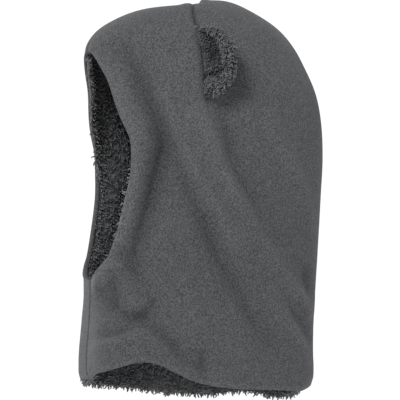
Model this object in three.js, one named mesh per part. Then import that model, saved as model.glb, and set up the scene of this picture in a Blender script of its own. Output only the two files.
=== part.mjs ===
// A small child's fleece hood with two round ears and a lining of curly pile.
// Millimetres. X points to the wearer's left, Y to the back of the head and Z up; the face looks along -Y.
// The origin is where the top of the head meets the lining.
//
// Each side of the hood is one fleece panel and one lining panel. They meet on the middle plane, in a seam
// that runs under the chin, over the crown and down the back. A dart is sewn into each side of the crown, and
// it holds the ear.
import * as THREE from "three";

// Overall sizes of the fleece
const hoodHeight = 301;
const hoodDepth = 186;
const hoodWidth = 145;

// Face opening
const openingHeight = 178;
const openingWidth = 113;
const foreheadHeight = 43; // crown to the opening's upper edge

// Layers
const fleeceThickness = 2;
const pileThickness = 5.5; // curly pile with its knitted backing
const layerGap = 0.6; // between the fleece and the lining
const seamGap = 0.4; // between the left and right panels
const liningInset = 1.5; // the lining stops this far inside the edges of the fleece

// Crown dart and the dip where both darts meet the middle seam
const dartLength = 92; // drop of the dart's lower end below the crown
const dartDepth = 2.6;
const dartWidth = 6;
const dartFade = 0.7; // share of the dart's length after which it grows shallower
const crownDip = 3;
const crownDipRadius = 11;

// Soft folds and the neck hem
const foldDepth = 6;
const foldWidth = 10;
const hemSlope = 11; // the hem is this much higher at the chin than at the nape
const hemWave = 8;

// Ears
const earLength = 50; // along the dart
const earReach = 32; // from the dart to the rim
const earThickness = 5;
const earLean = [0.45, 1.15, 1.1, 0.8, 0.5, 0.3]; // radians from upright, from the dart to the rim
const earTop = 32; // drop of the ear's upper end below the crown
const earGap = 0.7; // between the ear and the fleece

// Facets
const neckRows = 8;
const openingRows = 12;
const crownRows = 8;
const backColumns = 7;
const frontColumns = 9;
const bendLength = 40; // a bend of one radian counts as this much length when columns are spread out
const earRows = 10;
const earColumns = earLean.length - 1;

const wall = fleeceThickness + layerGap + pileThickness;

// Rows of a table as objects with named columns.
const withColumns = (columns, rows) =>
  rows.map((row) => Object.fromEntries(columns.map((name, index) => [name, row[index]])));

// Horizontal sections, from the hem to the crown's pole. drop is a share of hoodHeight below the crown.
// front, back and middle are shares of hoodDepth ahead of or behind the origin, middle at the widest place.
// half is a share of half the hoodWidth. squareFront and squareBack are the exponents of the section's two
// halves, 2 for an ellipse. lean is the section's slope, up towards the back.
const sections = withColumns(
  ["drop", "front", "back", "middle", "half", "squareFront", "squareBack", "lean"],
  [
    [0.999, 0.501, 0.443, -0.022, 0.855, 4, 2.3, 0],
    [0.963, 0.508, 0.454, -0.022, 0.883, 4, 2.3, 0],
    [0.906, 0.506, 0.452, -0.022, 0.876, 4, 2.3, 0],
    [0.828, 0.497, 0.458, -0.017, 0.855, 4, 2.2, 0],
    [0.75, 0.493, 0.467, -0.013, 0.848, 3.5, 2.2, 0],
    [0.678, 0.497, 0.473, -0.004, 0.869, 3.4, 2.2, 0],
    [0.595, 0.504, 0.48, 0.004, 0.91, 3.2, 2.2, 0],
    [0.504, 0.508, 0.487, 0.017, 0.959, 3, 2.2, 0],
    [0.413, 0.51, 0.494, 0.026, 0.993, 3, 2.2, 0],
    [0.323, 0.51, 0.488, 0.03, 1, 2.7, 2.2, 0],
    [0.245, 0.51, 0.467, 0.026, 0.979, 2.3, 2.1, 0],
    [0.175, 0.511, 0.421, 0.013, 0.917, 2.2, 2, 0],
    [0.118, 0.499, 0.369, -0.004, 0.828, 2.2, 2, 0],
    [0.071, 0.428, 0.3, -0.03, 0.697, 2.1, 2, 0],
    [0.03, 0.286, 0.191, -0.043, 0.497, 2, 2, 0.01],
    [0.009, 0.143, 0.074, -0.035, 0.248, 2, 2, 0.1],
    [0.0065, 0.039, -0.039, -0.039, 0, 2, 2, 0.12],
  ],
);
const pole = sections.length - 1;

// Half of the face opening, from the chin to the forehead. rise is a share of openingHeight above the chin
// and half a share of half the openingWidth.
const openingEdge = withColumns(
  ["rise", "half"],
  [
    [0, 0],
    [0.012, 0.22],
    [0.04, 0.46],
    [0.085, 0.66],
    [0.15, 0.81],
    [0.27, 0.92],
    [0.42, 0.98],
    [0.57, 1],
    [0.68, 0.91],
    [0.78, 0.77],
    [0.87, 0.58],
    [0.94, 0.39],
    [0.985, 0.2],
    [1, 0],
  ],
);

// Folds of the cloth on each side. rise is a share of foldDepth, negative for a valley, and spread a share of
// foldWidth. A path's points are [share of hoodDepth behind the origin, share of hoodHeight below the crown].
const folds = [
  // valley behind the rim
  {
    rise: -1,
    spread: 1,
    path: [[-0.385, 0.178], [-0.325, 0.281], [-0.268, 0.402], [-0.321, 0.554], [-0.387, 0.691]],
  },
  // roll of the rim
  {
    rise: 0.45,
    spread: 0.9,
    path: [[-0.46, 0.2], [-0.41, 0.304], [-0.352, 0.411], [-0.371, 0.527], [-0.421, 0.656]],
  },
  // long ridge to the nape
  {
    rise: 0.6,
    spread: 1.1,
    path: [[-0.237, 0.386], [-0.043, 0.573], [0.092, 0.674], [0.248, 0.773], [0.386, 0.888]],
  },
  // valley under the ridge
  {
    rise: -0.7,
    spread: 1.1,
    path: [[-0.186, 0.515], [-0.023, 0.711], [0.107, 0.846], [0.213, 0.929]],
  },
  // valley over the ridge
  {
    rise: -0.6,
    spread: 1.2,
    path: [[-0.052, 0.32], [0.017, 0.402], [0.146, 0.568], [0.247, 0.674]],
  },
  // pouch under the chin
  {
    rise: -0.5,
    spread: 0.8,
    path: [[-0.47, 0.771], [-0.391, 0.834], [-0.301, 0.808]],
  },
];
const farSideShare = 0.6; // the right side has the same folds, shallower
const foldEdge = 0.25; // share of half the hoodWidth beside the middle seam over which a fold fades out

// Waves of the hem on each side. at is a share of hoodDepth behind the origin, spread a share of it too, and
// lift a share of hemWave.
const hemWaves = [
  { side: 1, at: -0.36, spread: 0.13, lift: 1 },
  { side: 1, at: 0.02, spread: 0.22, lift: -0.42 },
  { side: -1, at: 0.15, spread: 0.2, lift: 0.3 },
];
const hemReach = 0.16; // share of hoodHeight over which a wave of the hem fades out upwards

const { cos, sin, abs, exp, hypot, min, max, PI } = Math;
const mix = (a, b, share) => a + (b - a) * share;
const clamp = (value, low, high) => min(max(value, low), high);
const smooth = (value) => {
  const share = clamp(value, 0, 1);
  return share * share * (3 - 2 * share);
};

// Catmull-Rom value through a list that holds one more entry at each end.
function curveValue(before, here, next, after, share) {
  const linear = next - before;
  const square = 2 * before - 5 * here + 4 * next - after;
  const cube = 3 * here - before - 3 * next + after;
  return here + (share * (linear + share * (square + share * cube))) / 2;
}

function alongTable(table, place) {
  const index = clamp(Math.floor(place), 0, table.length - 4);
  const share = place - index;
  const value = {};
  for (const name of Object.keys(table[0])) {
    const [before, here, next, after] = [0, 1, 2, 3].map((step) => table[index + step][name]);
    value[name] = curveValue(before, here, next, after, share);
  }
  return value;
}

// The sections with one more below the hem, and one beyond the pole that continues the dome on its far side.
function withEnds(table) {
  const [first, second] = table;
  const last = table[pole];
  const beside = table[pole - 1];
  const below = {};
  const beyond = { ...beside };
  for (const name of Object.keys(first)) below[name] = 2 * first[name] - second[name];
  for (const name of ["front", "back", "middle"]) beyond[name] = 2 * last[name] - beside[name];
  beyond.half = -beside.half;
  return [below, ...table, beyond];
}
const sectionTable = withEnds(sections);
const openingTable = [
  { rise: openingEdge[1].rise, half: -openingEdge[1].half },
  ...openingEdge,
  { rise: openingEdge.at(-2).rise, half: -openingEdge.at(-2).half },
];

function sectionAt(place) {
  const row = alongTable(sectionTable, clamp(place, 0, pole));
  const middle = row.middle * hoodDepth;
  return {
    height: wall - row.drop * hoodHeight,
    middle,
    ahead: max(abs(middle + row.front * hoodDepth), 1e-6),
    behind: max(abs(row.back * hoodDepth - middle), 1e-6),
    half: max(abs((row.half * hoodWidth) / 2), 1e-6),
    squareFront: row.squareFront,
    squareBack: row.squareBack,
    lean: row.lean,
  };
}

// The place in the sections, 0 at the hem and pole at the crown, that lies at a height on the middle plane.
function placeAtHeight(height) {
  let low = 0;
  let high = pole;
  for (let step = 0; step < 40; step += 1) {
    const half = (low + high) / 2;
    if (sectionAt(half).height < height) low = half;
    else high = half;
  }
  return (low + high) / 2;
}

const poleY = sections[pole].middle * hoodDepth;

// A point of the smooth hood, without folds. turn is the angle round the section, 0 at the nape and PI at the
// chin, positive on the wearer's left.
function smoothPoint(turn, place) {
  const row = sectionAt(place);
  const ahead = cos(turn) < 0;
  const square = ahead ? row.squareFront : row.squareBack;
  const length = ahead ? row.ahead : row.behind;
  const sum = (abs(sin(turn)) / row.half) ** square + (abs(cos(turn)) / length) ** square;
  const radius = sum ** (-1 / square);
  const y = row.middle + radius * cos(turn);
  return new THREE.Vector3(radius * sin(turn), y, row.height + row.lean * (y - poleY));
}

// The dart runs down from the pole, a little ahead of the widest place, and eases back below its end.
const dartTurn = 1.88;
const sideTurn = PI / 2;
function dartAt(place) {
  const drop = wall - sectionAt(place).height;
  return mix(dartTurn, sideTurn, smooth((drop - 0.85 * dartLength) / dartLength));
}

// Distance in the side view from a point to a fold's path, and the share of the path where it is nearest.
function nearestOnPath(path, y, drop) {
  let best = { distance: Infinity, share: 0 };
  for (let index = 0; index < path.length - 1; index += 1) {
    const [startY, startDrop] = [path[index][0] * hoodDepth, path[index][1] * hoodHeight];
    const [endY, endDrop] = [path[index + 1][0] * hoodDepth, path[index + 1][1] * hoodHeight];
    const [alongY, alongDrop] = [endY - startY, endDrop - startDrop];
    const dot = (y - startY) * alongY + (drop - startDrop) * alongDrop;
    const share = clamp(dot / (alongY ** 2 + alongDrop ** 2), 0, 1);
    const distance = hypot(y - startY - share * alongY, drop - startDrop - share * alongDrop);
    if (distance < best.distance) best = { distance, share: (index + share) / (path.length - 1) };
  }
  return best;
}

function foldRise(point) {
  const side = point.x < 0 ? farSideShare : 1;
  const fade = side * smooth(abs(point.x) / ((foldEdge * hoodWidth) / 2));
  if (fade === 0) return 0;
  let total = 0;
  for (const fold of folds) {
    const near = nearestOnPath(fold.path, point.y, wall - point.z);
    const taper = sin(PI * near.share) ** 0.6;
    const spread = fold.spread * foldWidth;
    total += fold.rise * foldDepth * taper * exp(-((near.distance / spread) ** 2));
  }
  return total * fade;
}

function dartRise(point, turn, place) {
  const across = (abs(turn) - dartAt(place)) * hypot(point.x, point.y - poleY);
  const drop = wall - point.z;
  const fade = 1 - smooth((drop - dartFade * dartLength) / ((1 - dartFade) * dartLength));
  const groove = -dartDepth * exp(-((across / (dartWidth / 2)) ** 2)) * fade;
  const dip = -crownDip * exp(-((hypot(point.x, point.y - poleY) / crownDipRadius) ** 2));
  return groove + dip;
}

function hemShift(point) {
  const fade = 1 - smooth((point.z - wall + hoodHeight) / (hemReach * hoodHeight));
  if (fade === 0) return 0;
  const side = point.x < 0 ? -1 : 1;
  const beside = smooth(abs(point.x) / ((foldEdge * hoodWidth) / 2));
  let lift = (-hemSlope * point.y) / hoodDepth;
  for (const wave of hemWaves) {
    if (wave.side !== side) continue;
    const away = (point.y / hoodDepth - wave.at) / wave.spread;
    lift += hemWave * wave.lift * beside * exp(-(away ** 2));
  }
  return lift * fade;
}

const probe = 0.004; // step of turn and place over which a slope is taken
function normalOf(surface, turn, place) {
  if (place > pole - 0.02) {
    const total = new THREE.Vector3();
    for (let index = 0; index < 8; index += 1) {
      total.add(normalOf(surface, ((index + 0.5) * PI) / 4 - PI, pole - 0.1));
    }
    total.x = 0;
    return total.normalize();
  }
  const across = surface(turn + probe, place).sub(surface(turn - probe, place));
  const low = max(place - probe, 0);
  const along = surface(turn, low + 2 * probe).sub(surface(turn, low));
  return along.cross(across).normalize();
}

// A point of the fleece's outer face.
function outerPoint(turn, place) {
  const point = smoothPoint(turn, place);
  const rise = foldRise(point) + dartRise(point, turn, place);
  const lift = hemShift(point);
  if (rise !== 0) point.addScaledVector(normalOf(smoothPoint, turn, place), rise);
  point.z += lift;
  return point;
}

// A point at a depth below the fleece's outer face.
function layerPoint(turn, place, depth) {
  const point = outerPoint(turn, place);
  return depth === 0 ? point : point.addScaledVector(normalOf(outerPoint, turn, place), -depth);
}

// The face opening's edge as a list of [turn, place], from the chin to the forehead.
function openingPlaces() {
  const chinHeight = wall - foreheadHeight - openingHeight;
  const fine = 40 * (openingEdge.length - 1);
  const points = [];
  let length = 0;
  for (let index = 0; index <= fine; index += 1) {
    const row = alongTable(openingTable, (index / fine) * (openingEdge.length - 1));
    const point = { height: chinHeight + row.rise * openingHeight, half: (row.half * openingWidth) / 2 };
    const last = points.at(-1);
    if (last) length += hypot(point.height - last.height, point.half - last.half);
    points.push({ ...point, length });
  }
  return Array.from({ length: openingRows + 1 }, (_, row) => {
    const wanted = (row / openingRows) * length;
    const point = points.find((candidate) => candidate.length >= wanted - 1e-9);
    const place = placeAtHeight(point.height);
    const section = sectionAt(place);
    const across = clamp(point.half / section.half, 0, 0.97);
    const ahead = section.ahead * (1 - across ** section.squareFront) ** (1 / section.squareFront);
    return [PI - Math.atan2(across * section.half, ahead), place];
  });
}

// Places from one end to the other, evenly by length, and closer together where the section bends.
function spreadOut(start, end, count) {
  const fine = 8 * count;
  const places = [];
  for (let index = 0; index <= fine; index += 1) {
    places.push([mix(start[0], end[0], index / fine), mix(start[1], end[1], index / fine)]);
  }
  const points = places.map(([turn, place]) => smoothPoint(turn, place));
  const sums = [0];
  for (let index = 1; index <= fine; index += 1) {
    const chord = points[index].clone().sub(points[index - 1]);
    const before = index > 1 ? points[index - 1].clone().sub(points[index - 2]) : chord;
    sums.push(sums[index - 1] + chord.length() + (chord.length() && before.angleTo(chord)) * bendLength);
  }
  return Array.from({ length: count + 1 }, (_, column) => {
    if (column === count) return end;
    const wanted = (column / count) * sums[fine];
    const index = max(sums.findIndex((sum) => sum > wanted), 1);
    const share = (index - 1 + (wanted - sums[index - 1]) / max(sums[index] - sums[index - 1], 1e-9)) / fine;
    return [mix(start[0], end[0], share), mix(start[1], end[1], share)];
  });
}

// The grid of [turn, place] that both layers of a side share, from the hem to the crown and from the nape
// forwards.
function panelGrid() {
  const edge = openingPlaces();
  const [chin, forehead] = [edge[0][1], edge.at(-1)[1]];
  const fronts = [];
  for (let row = 0; row < neckRows; row += 1) fronts.push([PI, (row / neckRows) * chin]);
  fronts.push(...edge);
  for (let row = 1; row <= crownRows; row += 1) fronts.push([PI, mix(forehead, pole, row / crownRows)]);
  return fronts.map(([frontTurn, frontPlace], row) => {
    const share = clamp((row - neckRows) / openingRows, 0, 1);
    const inOpening = row > neckRows && row < neckRows + openingRows;
    const backPlace = inOpening ? mix(chin, forehead, share) : frontPlace;
    const dartPlace = mix(backPlace, frontPlace, 0.5);
    const dart = dartAt(dartPlace);
    const middle = smoothPoint(dart, dartPlace);
    const halfDart = min(dartWidth / 2 / max(hypot(middle.x, middle.y - poleY), 1), 0.12);
    return [
      ...spreadOut([0, backPlace], [dart - halfDart, dartPlace], backColumns),
      [dart, dartPlace],
      ...spreadOut([dart + halfDart, dartPlace], [frontTurn, frontPlace], frontColumns),
    ];
  });
}
const grid = panelGrid();
const lastColumn = grid[0].length - 1;
const [chinRow, foreheadRow] = [neckRows, neckRows + openingRows];

// Moves the edges at the hem and at the face opening inwards, along the facets.
function pullIn(points, inset) {
  const pulled = points.map((row) => [...row]);
  const pull = (row, column, nextRow, nextColumn) => {
    const [edge, next] = [points[row][column], points[nextRow][nextColumn]];
    pulled[row][column] = edge.clone().lerp(next, inset / edge.distanceTo(next));
  };
  for (let column = 0; column <= lastColumn; column += 1) pull(0, column, 1, column);
  for (let row = chinRow + 1; row < foreheadRow; row += 1) pull(row, lastColumn, row, lastColumn - 1);
  pull(chinRow, lastColumn, chinRow - 1, lastColumn);
  pull(foreheadRow, lastColumn, foreheadRow + 1, lastColumn);
  return pulled;
}

// A closed solid between two grids of points. Points that coincide, as at the crown's pole, become one.
function solidBetween(outer, inner) {
  const positions = [];
  const known = new Map();
  const indexOf = (point) => {
    const key = [point.x, point.y, point.z].map((value) => value.toFixed(3)).join();
    if (!known.has(key)) {
      known.set(key, positions.length / 3);
      positions.push(point.x, point.y, point.z);
    }
    return known.get(key);
  };
  const [outerIndex, innerIndex] = [outer, inner].map((face) => face.map((row) => row.map(indexOf)));
  const faces = [];
  const triangle = (a, b, c) => {
    if (a !== b && b !== c && c !== a) faces.push([a, b, c]);
  };
  const quad = (a, b, c, d) => {
    triangle(a, b, c);
    triangle(a, c, d);
  };
  const [rows, columns] = [outer.length - 1, outer[0].length - 1];
  for (let row = 0; row < rows; row += 1) {
    for (let column = 0; column < columns; column += 1) {
      const corners = [[row, column], [row, column + 1], [row + 1, column + 1], [row + 1, column]];
      quad(...corners.map(([i, j]) => outerIndex[i][j]));
      quad(...[0, 3, 2, 1].map((corner) => innerIndex[corners[corner][0]][corners[corner][1]]));
    }
  }
  const rim = [];
  for (let column = 0; column < columns; column += 1) rim.push([0, column]);
  for (let row = 0; row < rows; row += 1) rim.push([row, columns]);
  for (let column = columns; column > 0; column -= 1) rim.push([rows, column]);
  for (let row = rows; row > 0; row -= 1) rim.push([row, 0]);
  rim.forEach(([i, j], index) => {
    const [k, l] = rim[(index + 1) % rim.length];
    quad(outerIndex[k][l], outerIndex[i][j], innerIndex[i][j], innerIndex[k][l]);
  });
  const geometry = new THREE.BufferGeometry();
  geometry.setAttribute("position", new THREE.Float32BufferAttribute(positions, 3));
  const inverted = volumeOf(positions, faces) < 0;
  geometry.setIndex(faces.flatMap((face) => (inverted ? face.reverse() : face)));
  geometry.computeVertexNormals();
  return geometry;
}

function volumeOf(positions, faces) {
  const corner = (index) => new THREE.Vector3().fromArray(positions, 3 * index);
  return faces.reduce((sum, [a, b, c]) => sum + corner(a).dot(corner(b).cross(corner(c))) / 6, 0);
}

// One side's panel between two depths below the fleece's outer face.
function panel(side, inset, outerDepth, innerDepth) {
  const layer = (depth) => {
    const points = grid.map((row) =>
      row.map(([turn, place]) => {
        const point = layerPoint(side * turn, place, depth);
        if (turn === 0 || turn === PI || place === pole) point.x = 0;
        point.x += (side * seamGap) / 2;
        return point;
      }),
    );
    return inset === 0 ? points : pullIn(points, inset);
  };
  return solidBetween(layer(outerDepth), layer(innerDepth));
}

// An ear stands in the dart, leans back and curls out again at its rim, as a shallow cup open to the front.
function ear(side) {
  const topPlace = placeAtHeight(wall - earTop);
  const bottomHeight = sectionAt(topPlace).height - earLength;
  const [frontFace, backFace] = [[], []];
  for (let row = 0; row <= earRows; row += 1) {
    const share = row / earRows;
    const place = placeAtHeight(mix(sectionAt(topPlace).height, bottomHeight, share));
    const turn = side * dartAt(place);
    const root = smoothPoint(turn, place);
    const normal = normalOf(smoothPoint, turn, place);
    const back = smoothPoint(turn - side * 0.02, place).sub(root).normalize();
    root.addScaledVector(normal, earGap);
    const reach = earReach * (0.25 + 0.75 * sin(PI * share) ** 0.6);
    const thick = earThickness * (0.75 + 0.25 * sin(PI * share));
    const middle = root.clone();
    const [frontRow, backRow] = [[], []];
    for (let column = 0; column <= earColumns; column += 1) {
      const angle = earLean[column];
      if (column > 0) {
        middle.addScaledVector(normal, (cos(angle) * reach) / earColumns);
        middle.addScaledVector(back, (sin(angle) * reach) / earColumns);
      }
      const turned = column === 0 ? 0 : angle;
      const offset = normal.clone().multiplyScalar(sin(turned)).addScaledVector(back, -cos(turned));
      const half = (thick / 2) * (column === earColumns ? 0.6 : 1);
      frontRow.push(middle.clone().addScaledVector(offset, half));
      backRow.push(middle.clone().addScaledVector(offset, -half));
    }
    frontFace.push(frontRow);
    backFace.push(backRow);
  }
  return solidBetween(frontFace, backFace);
}

const fleece = { color: 0x57585b, roughness: 0.95, metalness: 0 };
const pile = { color: 0x3f4043, roughness: 1, metalness: 0 };

const hood = new THREE.Group();
function add(name, geometry, finish) {
  const mesh = new THREE.Mesh(geometry, new THREE.MeshStandardMaterial(finish));
  mesh.name = name;
  hood.add(mesh);
}

for (const [name, side] of [["left", 1], ["right", -1]]) {
  add("shell_" + name, panel(side, 0, 0, fleeceThickness), fleece);
  add("lining_" + name, panel(side, liningInset, fleeceThickness + layerGap, wall), pile);
  add("ear_" + name, ear(side), pile);
}

export default hood;
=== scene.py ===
# %% [markdown]
# # A small child's fleece hood
# This hood is pulled on over the head. It is sewn from soft brushed fleece, lined with shaggy curly pile, and has
# a tall oval opening for the face, a long neck and two small pile ears. The cloth stands as a head fills it out.
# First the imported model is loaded. It gives the frame in which everything is placed, in metres, with X to the
# wearer's left, Y to the back of the head and Z up.

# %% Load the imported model
import math
import bmesh
import bpy
import numpy as np
from mathutils import Matrix


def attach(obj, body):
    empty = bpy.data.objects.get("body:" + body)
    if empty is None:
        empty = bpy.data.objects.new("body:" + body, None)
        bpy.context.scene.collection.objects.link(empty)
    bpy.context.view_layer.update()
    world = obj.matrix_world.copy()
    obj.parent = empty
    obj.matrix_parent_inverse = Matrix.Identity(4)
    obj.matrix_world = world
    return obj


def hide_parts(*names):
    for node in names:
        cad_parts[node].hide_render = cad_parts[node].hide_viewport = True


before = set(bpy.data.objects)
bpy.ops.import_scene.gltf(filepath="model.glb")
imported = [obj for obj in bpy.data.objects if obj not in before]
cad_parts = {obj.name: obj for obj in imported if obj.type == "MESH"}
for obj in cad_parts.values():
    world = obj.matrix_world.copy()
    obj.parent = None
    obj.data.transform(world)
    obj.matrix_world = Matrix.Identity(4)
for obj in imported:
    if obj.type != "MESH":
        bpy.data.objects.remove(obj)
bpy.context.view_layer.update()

# %% [markdown]
# ## Camera and light
# The hood is seen from its left side, a little from the front and from slightly below, so that the pile of the
# far side shows under the near hem. A long lens keeps it nearly free of perspective. The light is that of a small
# studio: a large soft lamp high in front, a weaker one at the back of the head, another on the far side, and an
# even white room. Small hard lamps would draw every fold with a sharp shadow, which brushed cloth never shows.

# %% Camera
SIDE_ANGLE, RISE_ANGLE = math.radians(75), math.radians(-5)
PICTURE_WIDTH = 0.312  # what the picture spans at the hood
PICTURE_MIDDLE = -0.0039, -0.1476  # to the right of the origin and above it
LENS, SENSOR = 400.0, 36.0
FAR_END = 50.0


def looking_from(side, rise):
    """Directions of what looks at the hood: to its right, upwards, and from the hood towards it."""
    towards = np.array([math.sin(side) * math.cos(rise), -math.cos(side) * math.cos(rise), math.sin(rise)])
    rightwards = np.array([math.cos(side), math.sin(side), 0])
    return rightwards, np.cross(towards, rightwards), towards


def placed(directions, point):
    """The matrix of a camera or lamp that has such directions and stands at a point."""
    place = np.eye(4)
    place[:3, 0], place[:3, 1], place[:3, 2] = directions
    place[:3, 3] = point
    return Matrix(place.tolist())


view = looking_from(SIDE_ANGLE, RISE_ANGLE)
distance = PICTURE_WIDTH * LENS / SENSOR
camera_data = bpy.data.cameras.new("camera")
camera_data.lens, camera_data.sensor_width, camera_data.clip_end = LENS, SENSOR, FAR_END
camera = bpy.data.objects.new("camera", camera_data)
bpy.context.scene.collection.objects.link(camera)
aim = PICTURE_MIDDLE[0] * view[0] + PICTURE_MIDDLE[1] * view[1]
camera.matrix_world = placed(view, aim + distance * view[2])
bpy.context.scene.camera = camera
bpy.context.scene.view_settings.view_transform = "Standard"
print("camera stands", round(distance, 2), "m away")

# %% Lamps
LAMP_AIM = np.array([0, 0, -0.15])  # the middle of the hood


def soft_lamp(name, azimuth, elevation, away, size, watts):
    """A square lamp that looks at the middle of the hood from an azimuth and an elevation in degrees."""
    data = bpy.data.lights.new(name, "AREA")
    data.shape, data.size, data.energy = "SQUARE", size, watts
    lamp = bpy.data.objects.new(name, data)
    bpy.context.scene.collection.objects.link(lamp)
    directions = looking_from(math.radians(azimuth), math.radians(elevation))
    lamp.matrix_world = placed(directions, LAMP_AIM + away * directions[2])
    print(name, "at", azimuth, "and", elevation, "degrees,", watts, "W")


soft_lamp("key_lamp", azimuth=50, elevation=36, away=1.6, size=0.45, watts=21)
soft_lamp("rim_lamp", azimuth=168, elevation=20, away=1.8, size=1.0, watts=9)
soft_lamp("side_lamp", azimuth=285, elevation=30, away=1.8, size=1.0, watts=14)

# %% White room
ROOM_LIGHT, ROOM_SEEN = 0.4, 1.05  # its strength as light on the hood, and as the camera sees it

world = bpy.data.worlds.new("white_room")
world.use_nodes = True
bpy.context.scene.world = world
room = world.node_tree
background = room.nodes["Background"]
seen = room.nodes.new("ShaderNodeLightPath")
strength = room.nodes.new("ShaderNodeMapRange")
strength.inputs["To Min"].default_value, strength.inputs["To Max"].default_value = ROOM_LIGHT, ROOM_SEEN
room.links.new(seen.outputs["Is Camera Ray"], strength.inputs["Value"])
room.links.new(strength.outputs["Result"], background.inputs["Strength"])
background.inputs["Color"].default_value = (1, 1, 1, 1)
print("the room gives light of strength", ROOM_LIGHT)

# %% [markdown]
# ## Helpers for finishes
# A finish is a small graph of nodes. It could be wired node by node, but its sums are far easier to read as
# Python expressions, so one class wraps a socket and adds a Math node for each operator. All other nodes come
# from one method of a finish.


# %% Expressions on sockets
class Value:
    """A number or a colour that varies over a surface."""

    def __init__(self, finish, socket):
        self.finish, self.socket = finish, socket

    def math(self, operation, first, second):
        return self.finish.node("ShaderNodeMath", {"operation": operation}, {0: first, 1: second})[0]

    def __add__(self, other):
        return self.math("ADD", self, other)

    def __sub__(self, other):
        return self.math("SUBTRACT", self, other)

    def __rsub__(self, other):
        return self.math("SUBTRACT", other, self)

    def __mul__(self, other):
        return self.math("MULTIPLY", self, other)

    __radd__, __rmul__ = __add__, __mul__

    def between(self, low, high):
        """0 below low and 1 above high, with a soft step from one to the other."""
        inputs = {"Value": self, "From Min": low, "From Max": high}
        return self.finish.node("ShaderNodeMapRange", {"interpolation_type": "SMOOTHSTEP"}, inputs)["Result"]


# %% A finish and its nodes
RELIEF_STRENGTH = 0.8


class Finish:
    """A material and the nodes that it is made of."""

    def __init__(self, name, **sockets):
        self.material = bpy.data.materials.new(name)
        self.material.use_nodes = True
        self.tree = self.material.node_tree
        self.shader = self.tree.nodes["Principled BSDF"]
        self.paint(**sockets)

    def paint(self, **sockets):
        for name, value in sockets.items():
            self.connect(value, self.shader.inputs[name.replace("_", " ")])

    def connect(self, source, target):
        if isinstance(source, Value):
            self.tree.links.new(source.socket, target)
        else:
            target.default_value = source

    def node(self, kind, settings=None, inputs=None):
        """Adds a node, its settings first and then its sockets, and returns its outputs as values."""
        node = self.tree.nodes.new(kind)
        for name, value in (settings or {}).items():
            setattr(node, name, value)
        for name, value in (inputs or {}).items():
            known = name if isinstance(name, int) else [
                index for index, socket in enumerate(node.inputs) if socket.enabled and socket.name == name][0]
            self.connect(value, node.inputs[known])
        outputs = {output.name: Value(self, output) for output in node.outputs if output.enabled}
        outputs[0] = next(iter(outputs.values()))
        return outputs

    def noise(self, size, detail=2.0):
        """Noise from 0 to 1 with grains of a size in metres, in the piece's own coordinates."""
        place = self.node("ShaderNodeTexCoord")["Object"]
        return self.node("ShaderNodeTexNoise", {}, {"Vector": place, "Scale": 1 / size, "Detail": detail})[0]

    def mark(self, name):
        """A number kept on the piece's points."""
        return self.node("ShaderNodeAttribute", {"attribute_name": name})["Fac"]

    def blend(self, low, high, share):
        """A colour between two others."""
        return self.node("ShaderNodeMix", {"data_type": "RGBA"}, {"Factor": share, "A": low, "B": high})[0]

    def relief(self, height, depth):
        inputs = {"Height": height, "Distance": depth, "Strength": RELIEF_STRENGTH}
        self.paint(Normal=self.node("ShaderNodeBump", {}, inputs)["Normal"])


# %% [markdown]
# ## Fleece
# Brushed fleece is matt and pebbled: its fibres clump into soft grains a bit over a millimetre wide, a shade
# lighter on top than between. A picture of cloth would need seams hidden and would repeat. Noise at the size of
# the grains does neither, because it is worked out in the piece's own coordinates. Sheen stands for the fuzz that
# catches light at a glancing angle. A mark on the points paints light and shade into the colour: painted shade in
# the fold valleys, the dart grooves and the middle seam's crease, and painted light on the ridges, the turned-in
# edge of the face opening and the hem.

# %% Fleece finish
GRAIN, CLUMP, WEAR = 0.0011, 0.0075, 0.05
GRAIN_SHARE, CLUMP_SHARE, WEAR_SHARE = 0.86, 0.07, 0.07
NOISE_LOW, NOISE_HIGH = 0.3, 0.7  # most of the noise lies between these
# a shaded and a lit copy of the fleece colour, each with dark and light grains: painted shade and painted light
SHADED_COPY_DARK, SHADED_COPY_LIGHT = (0.017, 0.018, 0.019, 1), (0.061, 0.062, 0.065, 1)
LIT_COPY_DARK, LIT_COPY_LIGHT = (0.048, 0.049, 0.052, 1), (0.127, 0.129, 0.134, 1)
# marks at which the colour is all painted shade and all painted light
FULL_SHADE_AT, FULL_LIGHT_AT = -1.6, 0.8
FUZZ_DEPTH = 0.0004

fleece = Finish("brushed_fleece", Roughness=1.0, Sheen_Weight=0.1, Sheen_Roughness=0.5, Specular_IOR_Level=0.1)
grains, clumps, wear = fleece.noise(GRAIN, 1.0), fleece.noise(CLUMP, 1.5), fleece.noise(WEAR)
shade = GRAIN_SHARE * grains.between(NOISE_LOW, NOISE_HIGH)
shade = shade + CLUMP_SHARE * clumps.between(NOISE_LOW, NOISE_HIGH)
shade = shade + WEAR_SHARE * wear.between(NOISE_LOW, NOISE_HIGH)
# pressed is the fleece colour under painted shade, raised the colour under painted light; the mark blends them
pressed = fleece.blend(SHADED_COPY_DARK, SHADED_COPY_LIGHT, shade)
raised = fleece.blend(LIT_COPY_DARK, LIT_COPY_LIGHT, shade)
fleece.paint(Base_Color=fleece.blend(pressed, raised, fleece.mark("painted_light_and_shade").between(FULL_SHADE_AT, FULL_LIGHT_AT)))
fleece.relief(grains + 0.5 * clumps, FUZZ_DEPTH)
print(fleece.material.name, len(fleece.tree.nodes), "nodes")

# %% [markdown]
# ## Pile
# The pile has the same yarn but hangs in strands. Each strand is a thin shape of its own, so the finish only
# colours it: painted shade at the root, lighter at the tip, and uneven from tuft to tuft. The mark "tip" runs
# along a strand. A second mark paints shade where strands lie in a hollow or a crease and inside the hood, and
# paints light where it is below 0, near a free edge. Light and shadows alone would do this too, but only with far
# more strands than a model can carry.

# %% Pile finish
PILE_DARK, PILE_LIGHT = (0.030, 0.031, 0.033, 1), (0.175, 0.178, 0.184, 1)
# painted shade towards the root, random tone from tuft to tuft, and the second mark's painted shade and light
ROOT_SHADE, TUFT_SHARE, PILE_SHADE_SHARE = 0.55, 0.45, 0.6
TUFT, FIBRE = 0.004, 0.0009

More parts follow.
